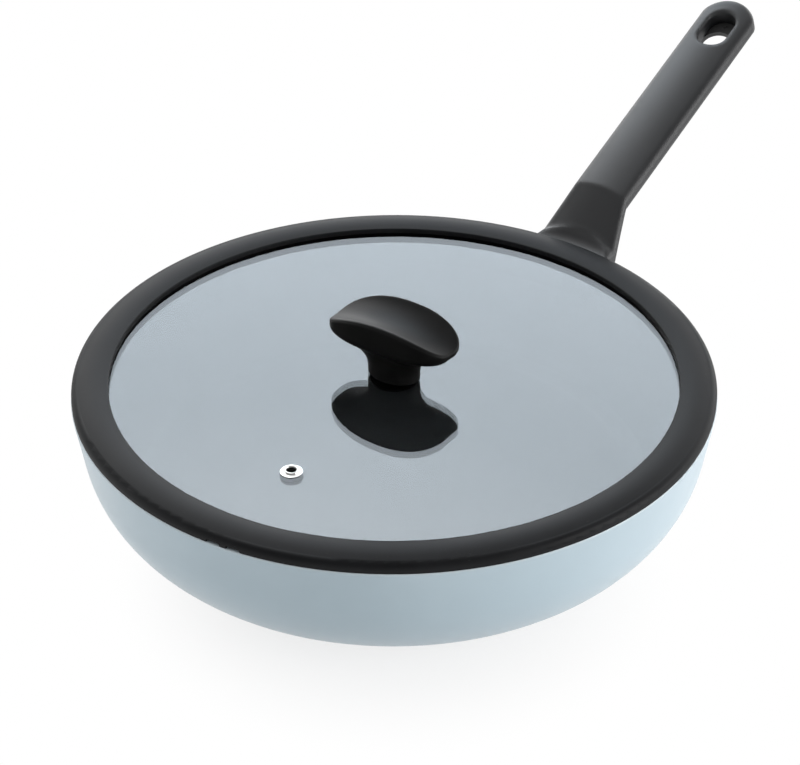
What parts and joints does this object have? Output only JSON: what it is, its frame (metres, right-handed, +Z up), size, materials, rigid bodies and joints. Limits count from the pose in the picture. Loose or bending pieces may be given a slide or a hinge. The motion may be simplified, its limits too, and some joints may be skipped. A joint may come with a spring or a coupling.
{
  "type": "saute pan with lid",
  "caption": "Pale blue saute pan with a flat glass lid, dark silicone rim, dished oval knob and an upswept black handle.",
  "frame": {"origin": "centre of the underside, on the surface the pan stands on", "axes": "+Z up along the pan's axis, +X from the axis towards the handle's tip"},
  "size_m": [0.455, 0.2944, 0.1394],
  "materials": {
    "body_coating": "satin pale blue enamel",
    "nonstick": "satin non-stick coating",
    "disc_steel": "circular brushed",
    "cast_alloy": "as cast",
    "hard_grey": "fine moulded grain",
    "soft_touch": "soft-touch satin",
    "steel": "polished stainless",
    "lid_glass": "clear tempered",
    "silicone": "matte silicone",
    "knob_black": "matte with a faint sheen",
    "insert_brass": "turned"
  },
  "bodies": {
    "pan": {"pan_shell": "body_coating", "pan_lining": "nonstick", "base_disc": "disc_steel", "handle_bracket": "cast_alloy", "handle_core": "hard_grey", "handle_skin": "soft_touch", "hang_insert": "hard_grey", "handle_screw": "steel", "handle_washer": "steel"},
    "lid": {"glass_disc": "lid_glass", "silicone_ring": "silicone", "vent_eyelet": "steel", "vent_ring": "steel", "vent_gasket": "silicone", "knob": "knob_black", "knob_insert": "insert_brass", "knob_screw": "steel", "knob_washer": "steel", "knob_gasket_lower": "silicone", "knob_gasket_upper": "silicone"}
  },
  "joints": [
    {"name": "lid_lift", "type": "slide", "parent": "pan", "child": "lid", "axis": [0, 0, 1], "range_m": [0, 0.12]}
  ]
}
